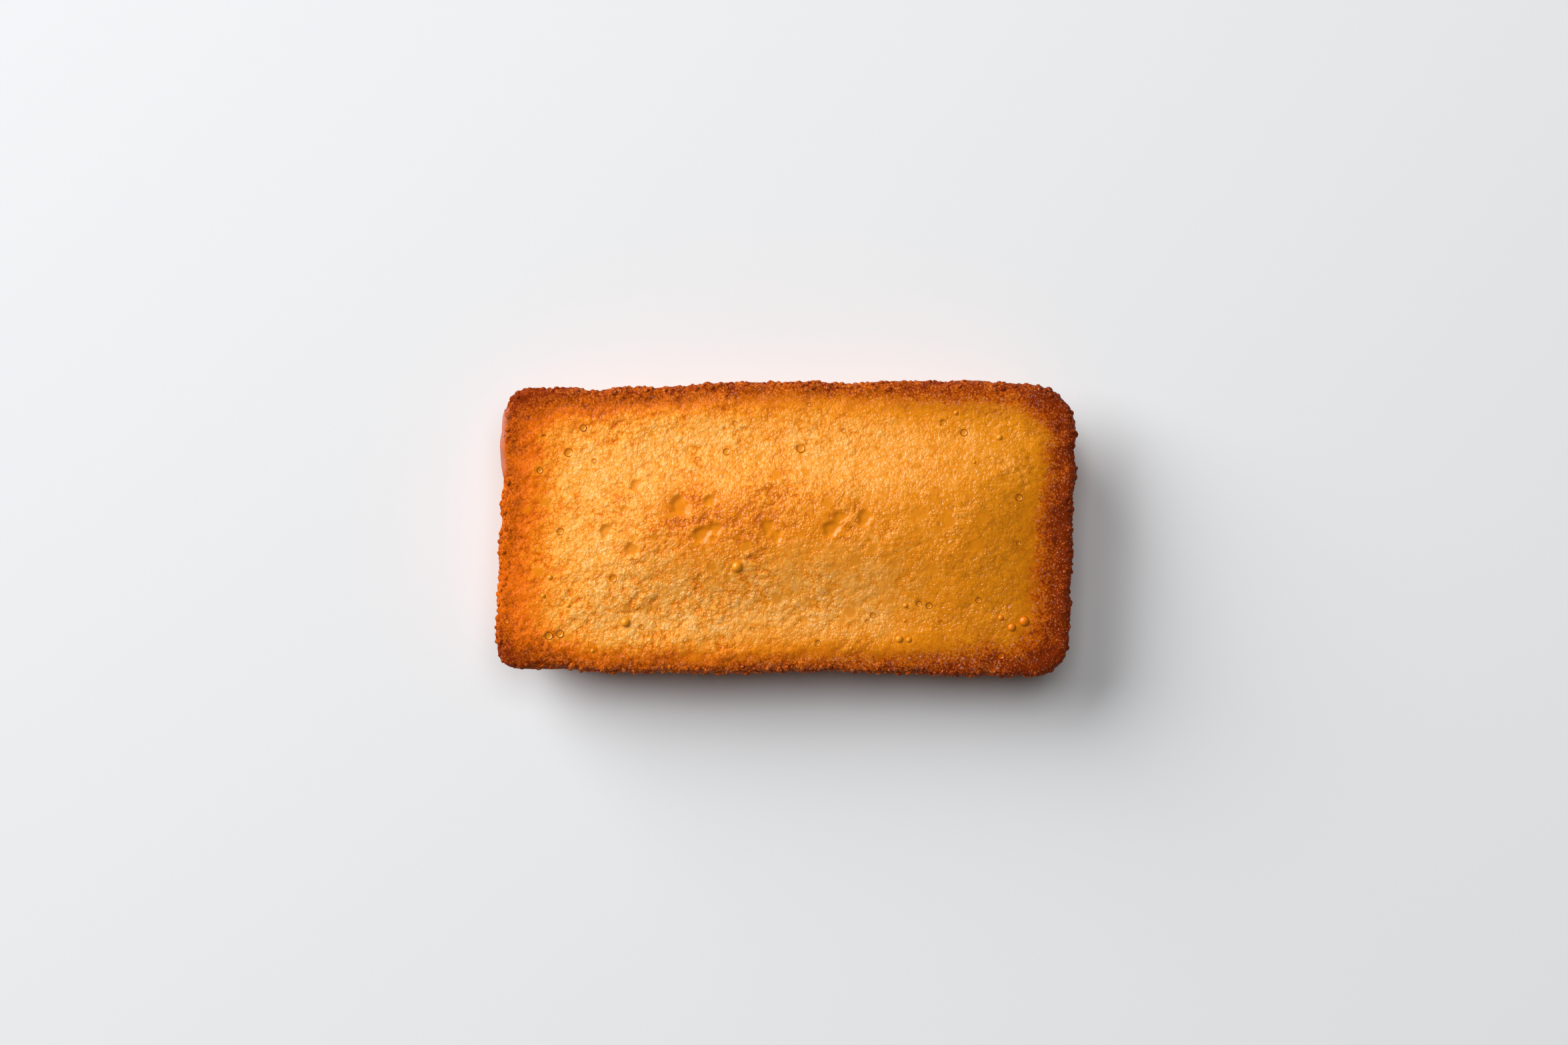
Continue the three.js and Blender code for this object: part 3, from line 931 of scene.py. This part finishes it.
def crust_colour(tree, place, marks, toast_and_shade, creases, look):
    """Colour of the crust, from the left tints to the right ones, with its skins, pale specks of painted
    glint, and fine holes painted as dark spots of shade.
    """
    axes = add_node(tree, "ShaderNodeSeparateXYZ", {0: place}).outputs
    rightward = add_node(tree, "ShaderNodeMapRange", {
        "Value": axes["X"], "From Min": -TINT_HALF, "From Max": TINT_HALF}).outputs[0]
    tinned = add_node(tree, "ShaderNodeMapRange", {
        "Value": axes["Z"], "From Min": TINNED_FROM, "From Max": TINNED_TO, "To Max": 0.5}).outputs[0]
    # The peach stops are painted sheen on the tops of the lumps; the others follow the crust's browning
    left = colour_ramp(tree, toast_and_shade, (
        (0.04, look.peach_sheen_left), (0.21, look.pale_left), (0.38, look.golden_left),
        (0.58, look.toasted_left), (0.79, look.brown), (1.0, look.dark)))
    right = colour_ramp(tree, toast_and_shade, (
        (0.04, look.peach_sheen_right), (0.21, look.pale_right), (0.38, look.golden_right),
        (0.58, look.toasted_right), (0.79, look.brown), (1.0, look.dark)))

    pale = add_node(tree, "ShaderNodeMapRange", {
        "Value": marks["bake"], "From Min": 0.2, "From Max": 0.6, "To Min": 1.0, "To Max": 0.0}).outputs[0]
    skin = add_node(tree, "ShaderNodeMath", {0: marks["calm"], 1: 0.75}, operation="MULTIPLY").outputs[0]
    skin = add_node(tree, "ShaderNodeMath", {0: skin, 1: pale}, operation="MULTIPLY").outputs[0]
    # Painted glints: pale colour in the middle of each small granule of the grainy rim, standing in for
    # highlights
    painted_glint = add_node(tree, "ShaderNodeMapRange", {
        "Value": creases, "From Min": 0.015, "From Max": 0.07, "To Min": 0.65, "To Max": 0.0}).outputs[0]
    painted_glint = add_node(tree, "ShaderNodeMath", {0: painted_glint, 1: marks["painted_glint_share"]}, operation="MULTIPLY").outputs[0]
    # Fine holes drawn only as dark spots: painted shade inside the holes
    hole_shade = add_node(tree, "ShaderNodeTexVoronoi", {
        "Vector": place, "Scale": 1 / HOLE_SPACING}).outputs["Distance"]
    hole_shade = add_node(tree, "ShaderNodeMapRange", {
        "Value": hole_shade, "From Min": 0.03, "From Max": 0.06, "To Min": 0.7, "To Max": 0.0}).outputs[0]

    colour = left
    layers = (
        (rightward, right), (tinned, (*look.side, 1)), (skin, (*look.amber, 1)),
        (painted_glint, (*look.painted_glint, 1)), (hole_shade, (*look.dark, 1)), (marks["bare"], (*look.bare, 1)),
    )
    for share, over in layers:
        colour = add_node(tree, "ShaderNodeMix", {
            "Factor": share, 6: colour, 7: over}, data_type="RGBA").outputs[2]
    return colour


def film_normal(tree, marks, stirred, relief, strength):
    """Which way the butter film faces: over the relief, and tipped from facet to facet where it is grainy."""
    facets = add_node(tree, "ShaderNodeTexVoronoi", {
        "Vector": stirred, "Scale": 1 / FACET_SIZE}).outputs["Color"]
    tip = add_node(tree, "ShaderNodeVectorMath", {
        0: facets, 1: (0.5, 0.5, 0.5)}, operation="SUBTRACT").outputs[0]
    reach = add_node(tree, "ShaderNodeMapRange", {
        "Value": marks["grit"], "From Min": 0.7, "To Min": 0.2, "To Max": 2.8}).outputs[0]
    reach = add_node(tree, "ShaderNodeMath", {0: reach, 1: marks["rough"]}, operation="MULTIPLY").outputs[0]
    tip = add_node(tree, "ShaderNodeVectorMath", {0: tip, "Scale": reach}, operation="SCALE").outputs[0]
    normal = add_node(tree, "ShaderNodeBump", {
        "Strength": strength, "Distance": FILM_HEIGHT, "Height": relief}).outputs[0]
    normal = add_node(tree, "ShaderNodeVectorMath", {0: normal, 1: tip}, operation="ADD").outputs[0]
    return add_node(tree, "ShaderNodeVectorMath", {0: normal}, operation="NORMALIZE").outputs[0]


def crust_material(look):
    """Baked almond crumb: an uneven crust with a butter sheen on every grain.

    The eye sees gold that deepens to red brown at the rim, pale specks of painted glint on the grains, and
    smooth amber where a bubble left a skin. Painted sheen lightens the tops of the lumps and painted shade
    darkens their creases.
    """
    material = bpy.data.materials.new("baked_almond_crust")
    material.use_nodes = True
    tree = material.node_tree
    shader = tree.nodes["Principled BSDF"]
    place = add_node(tree, "ShaderNodeTexCoord").outputs["Object"]
    names = ("bake", "calm", "rough", "film", "bare", "dip", "grit", "painted_glint_share", "tint")
    marks = {
        name: add_node(tree, "ShaderNodeAttribute", attribute_name=name).outputs["Fac"] for name in names}

    stirred, creases, relief = crumb_patterns(tree, place, marks["grit"])
    toast_and_shade = crumb_toast_and_shade(tree, place, marks, relief)
    strength = add_node(tree, "ShaderNodeMapRange", {
        "Value": marks["grit"], "To Min": 1.0, "To Max": 0.4}).outputs[0]
    strength = add_node(tree, "ShaderNodeMath", {
        0: strength, 1: marks["rough"]}, operation="MULTIPLY").outputs[0]
    bump = add_node(tree, "ShaderNodeBump", {
        "Strength": strength, "Distance": CRUMB_HEIGHT, "Height": relief}).outputs[0]
    tree.links.new(crust_colour(tree, place, marks, toast_and_shade, creases, look), shader.inputs["Base Color"])
    tree.links.new(bump, shader.inputs["Normal"])
    tree.links.new(film_normal(tree, marks, stirred, relief, strength), shader.inputs["Coat Normal"])
    tree.links.new(marks["film"], shader.inputs["Coat Weight"])
    shader.inputs["Roughness"].default_value = 0.45
    shader.inputs["IOR"].default_value = 1.47
    shader.inputs["Specular IOR Level"].default_value = 0.02
    shader.inputs["Coat Roughness"].default_value = 0.2
    shader.inputs["Coat IOR"].default_value = 1.7
    shader.inputs["Subsurface Weight"].default_value = 0.3
    shader.inputs["Subsurface Radius"].default_value = GLOW_COLOUR
    shader.inputs["Subsurface Scale"].default_value = CRUMB_GLOW
    return material


def bubble_material(look):
    """Set syrup skin: thin and glassy, amber over pale crumb and deeper over browned crumb.

    The eye sees a small bright window on each bubble and a dark line of painted shade round its foot.
    """
    material = bpy.data.materials.new("set_syrup_skin")
    material.use_nodes = True
    tree = material.node_tree
    shader = tree.nodes["Principled BSDF"]
    place = add_node(tree, "ShaderNodeTexCoord").outputs["Object"]
    bake, foot = (
        add_node(tree, "ShaderNodeAttribute", attribute_name=name).outputs["Fac"]
        for name in ("bake", "foot"))
    mottle = add_node(tree, "ShaderNodeTexNoise", {
        "Vector": place, "Scale": 1 / MOTTLE_SIZE, "Detail": 2.0}).outputs[0]
    toast_and_shade = add_node(tree, "ShaderNodeMath", {
        0: mottle, 1: 0.25, 2: bake}, operation="MULTIPLY_ADD").outputs[0]
    # Painted shade: the foot is darkened where the bubble meets the crust
    toast_and_shade = add_node(tree, "ShaderNodeMath", {0: foot, 1: toast_and_shade}, operation="ADD").outputs[0]
    colour = colour_ramp(tree, toast_and_shade, ((0.4, look.syrup), (0.8, look.toasted_left), (1.0, look.dark)))
    bump = add_node(tree, "ShaderNodeBump", {
        "Strength": 0.25, "Distance": MOTTLE_HEIGHT, "Height": mottle}).outputs[0]
    tree.links.new(colour, shader.inputs["Base Color"])
    tree.links.new(bump, shader.inputs["Normal"])
    shader.inputs["Roughness"].default_value = 0.14
    shader.inputs["IOR"].default_value = 1.49
    shader.inputs["Subsurface Weight"].default_value = 0.3
    shader.inputs["Subsurface Radius"].default_value = GLOW_COLOUR
    shader.inputs["Subsurface Scale"].default_value = SYRUP_GLOW
    return material


# Pieces

def new_piece(name, mesh):
    """Put a mesh into the scene as an object at the origin."""
    piece = bpy.data.objects.new(name, mesh)
    bpy.context.scene.collection.objects.link(piece)
    return piece


def strew(name, values):
    """Strew one kind of lump over the finished skin, as a piece of its own."""
    skin = bpy.data.objects[SKIN]
    lumps = new_piece(name, skin.data.copy())
    bake_nodes(lumps, strewing_tree(), {**values, "Material": bpy.data.materials["baked_almond_crust"]})
    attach(lumps, BODY)


def turned_mesh(name, section, foot_shade):
    """A closed turned shape, from a section that starts and ends on its axis, with its foot marked for
    painted shade.
    """
    turn = np.linspace(0, 2 * math.pi, BUBBLE_SEGMENTS, endpoint=False)
    points = [(0, 0, section[0][1])]
    for radius, height in section[1:-1]:
        points += [(radius * math.cos(a), radius * math.sin(a), height) for a in turn]
    points.append((0, 0, section[-1][1]))
    faces = []
    rings = len(section) - 2
    for k in range(BUBBLE_SEGMENTS):
        after = (k + 1) % BUBBLE_SEGMENTS
        faces.append((0, 1 + k, 1 + after))
        for ring in range(rings - 1):
            upper = 1 + ring * BUBBLE_SEGMENTS
            lower = upper + BUBBLE_SEGMENTS
            faces.append((upper + k, lower + k, lower + after, upper + after))
        last = 1 + (rings - 1) * BUBBLE_SEGMENTS
        faces.append((last + k, len(points) - 1, last + after))
    mesh = bpy.data.meshes.new(name)
    mesh.from_pydata(points, [], faces)
    # The foot's mark is painted shade where the bubble meets the crust
    foot = mesh.attributes.new("foot", "FLOAT", "POINT")
    foot.data.foreach_set("value", [foot_shade * (math.hypot(x, y) > FOOT_RADIUS) for x, y, _ in points])
    return mesh


def set_bubbles(name, bubbles, section, foot_shade, material):
    """Set one kind of bubble on the finished skin, as a piece of its own."""
    mesh = bpy.data.meshes.new(name)
    mesh.from_pydata([(x * MM, y * MM, 2 * CAD_HIGH.z) for x, y, _ in bubbles], [], [])
    radii = mesh.attributes.new("radius", "FLOAT", "POINT")
    radii.data.foreach_set("value", [radius * MM for _, _, radius in bubbles])
    piece = new_piece(name, mesh)
    shape = new_piece(name + "_shape", turned_mesh(name + "_shape", section, foot_shade))
    bake_nodes(piece, bubble_tree(), {"Crust": bpy.data.objects[SKIN], "Shape": shape, "Material": material})
    bpy.data.objects.remove(shape)
    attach(piece, BODY)


class FINANCIER_OT_crust(bpy.types.Operator):
    """Lay the rough baked skin over the solid cake"""

    bl_idname = "financier.crust"
    bl_label = "Baked crust"

    def execute(self, context):
        look = context.scene.financier_crust
        cake = new_piece(SKIN, skin_mesh(cake_solid()))
        bake_nodes(cake, relief_tree(), {
            "Wrinkle size": look.wrinkle_size,
            "Wrinkle height": look.wrinkle_height,
            "Lump size": look.lump_size,
            "Lump height": look.lump_height,
            "Seed": float(look.seed),
            "Material": crust_material(look),
        })
        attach(cake, BODY)
        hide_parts(CAKE)
        return {"FINISHED"}


class FINANCIER_OT_grains(bpy.types.Operator):
    """Strew the browned grains over the rim and the crags along its edge"""

    bl_idname = "financier.grains"
    bl_label = "Rim grains"

    def execute(self, context):
        sizes = context.scene.financier_grains
        strew("rim_grains", {
            "Where": "grains", "Spacing": sizes.grain_spacing, "Smallest": sizes.grain_least,
            "Largest": sizes.grain_most, "Flatness": 0.5, "Sink": 0.5, "Tilt": 0.5, "Sides": 6, "Seed": 3})
        strew("rim_crags", {
            "Where": "crags", "Spacing": sizes.crag_spacing, "Smallest": sizes.crag_least,
            "Largest": sizes.crag_most, "Flatness": 0.7, "Sink": 0.2, "Tilt": 0.7, "Sides": 8, "Seed": 9})
        return {"FINISHED"}


class FINANCIER_OT_bubbles(bpy.types.Operator):
    """Set the shut blisters and the burst cups on the crust"""

    bl_idname = "financier.bubbles"
    bl_label = "Bubbles"

    def execute(self, context):
        material = bubble_material(context.scene.financier_crust)
        set_bubbles("blisters", BLISTERS, BLISTER_SECTION, BLISTER_FOOT_SHADE, material)
        set_bubbles("burst_cups", CUPS, CUP_SECTION, CUP_FOOT_SHADE, material)
        return {"FINISHED"}


# Stage

def soft_light(name, power, width, height, place):
    """A flat soft light that faces the cake."""
    data = bpy.data.lights.new(name, "AREA")
    data.shape = "RECTANGLE"
    data.energy = power
    data.size = width
    data.size_y = height
    lamp = bpy.data.objects.new(name, data)
    lamp.location = place
    lamp.rotation_euler = (-Vector(place)).to_track_quat("-Z", "Y").to_euler()
    bpy.context.scene.collection.objects.link(lamp)
    return lamp


def floor_material(colour):
    """Plain matt painted board, so that the floor only catches the shadow."""
    material = bpy.data.materials.new("matt_painted_board")
    material.use_nodes = True
    shader = material.node_tree.nodes["Principled BSDF"]
    shader.inputs["Base Color"].default_value = (*colour, 1)
    shader.inputs["Roughness"].default_value = 0.7
    shader.inputs["Specular IOR Level"].default_value = 0.2
    return material


class FINANCIER_OT_stage(bpy.types.Operator):
    """Set the plain floor, the soft light and the camera"""

    bl_idname = "financier.stage"
    bl_label = "Stage"

    def execute(self, context):
        look = context.scene.financier_stage
        scene = context.scene
        mesh = bpy.data.meshes.new("floor")
        corners = [(x * FLOOR_HALF, y * FLOOR_HALF, 0) for x, y in ((-1, -1), (1, -1), (1, 1), (-1, 1))]
        mesh.from_pydata(corners, [], [(0, 1, 2, 3)])
        mesh.materials.append(floor_material(look.floor))
        floor = bpy.data.objects.new("floor", mesh)
        scene.collection.objects.link(floor)

        flat = KEY_DISTANCE * math.cos(look.key_elevation)
        key_place = (flat * math.cos(look.key_azimuth), flat * math.sin(look.key_azimuth),
                     KEY_DISTANCE * math.sin(look.key_elevation))
        soft_light("key", look.key_power, look.key_width, look.key_height, key_place)
        overhead = soft_light("top", look.top_power, look.top_size, look.top_size, TOP_PLACE)
        overhead.visible_glossy = False
        world = bpy.data.worlds.new("even_light")
        world.use_nodes = True
        world.node_tree.nodes["Background"].inputs["Color"].default_value = (1, 1, 1, 1)
        world.node_tree.nodes["Background"].inputs["Strength"].default_value = look.fill
        scene.world = world

        data = bpy.data.cameras.new("camera")
        data.lens = look.lens
        camera = bpy.data.objects.new("camera", data)
        camera.location = CAMERA_PLACE
        scene.collection.objects.link(camera)
        scene.camera = camera
        scene.view_settings.view_transform = "Standard"
        return {"FINISHED"}


class FINANCIER_PT_panel(bpy.types.Panel):
    """The steps and sizes of the financier"""

    bl_idname = "FINANCIER_PT_panel"
    bl_label = "Financier"
    bl_space_type = "VIEW_3D"
    bl_region_type = "UI"
    bl_category = "Financier"

    def draw(self, context):
        for step in OPERATORS:
            self.layout.operator(step.bl_idname)
        scene = context.scene
        for group in (scene.financier_crust, scene.financier_grains, scene.financier_stage):
            for name in group.__annotations__:
                self.layout.prop(group, name)


OPERATORS = (FINANCIER_OT_crust, FINANCIER_OT_grains, FINANCIER_OT_bubbles, FINANCIER_OT_stage)
CLASSES = (FinancierCrust, FinancierGrains, FinancierStage, *OPERATORS, FINANCIER_PT_panel)


def register():
    for cls in CLASSES:
        bpy.utils.register_class(cls)
    bpy.types.Scene.financier_crust = PointerProperty(type=FinancierCrust)
    bpy.types.Scene.financier_grains = PointerProperty(type=FinancierGrains)
    bpy.types.Scene.financier_stage = PointerProperty(type=FinancierStage)


def unregister():
    del bpy.types.Scene.financier_stage
    del bpy.types.Scene.financier_grains
    del bpy.types.Scene.financier_crust
    for cls in reversed(CLASSES):
        bpy.utils.unregister_class(cls)


def main():
    register()
    bpy.ops.financier.crust()
    bpy.ops.financier.grains()
    bpy.ops.financier.bubbles()
    bpy.ops.financier.stage()


if __name__ == "__main__":
    main()
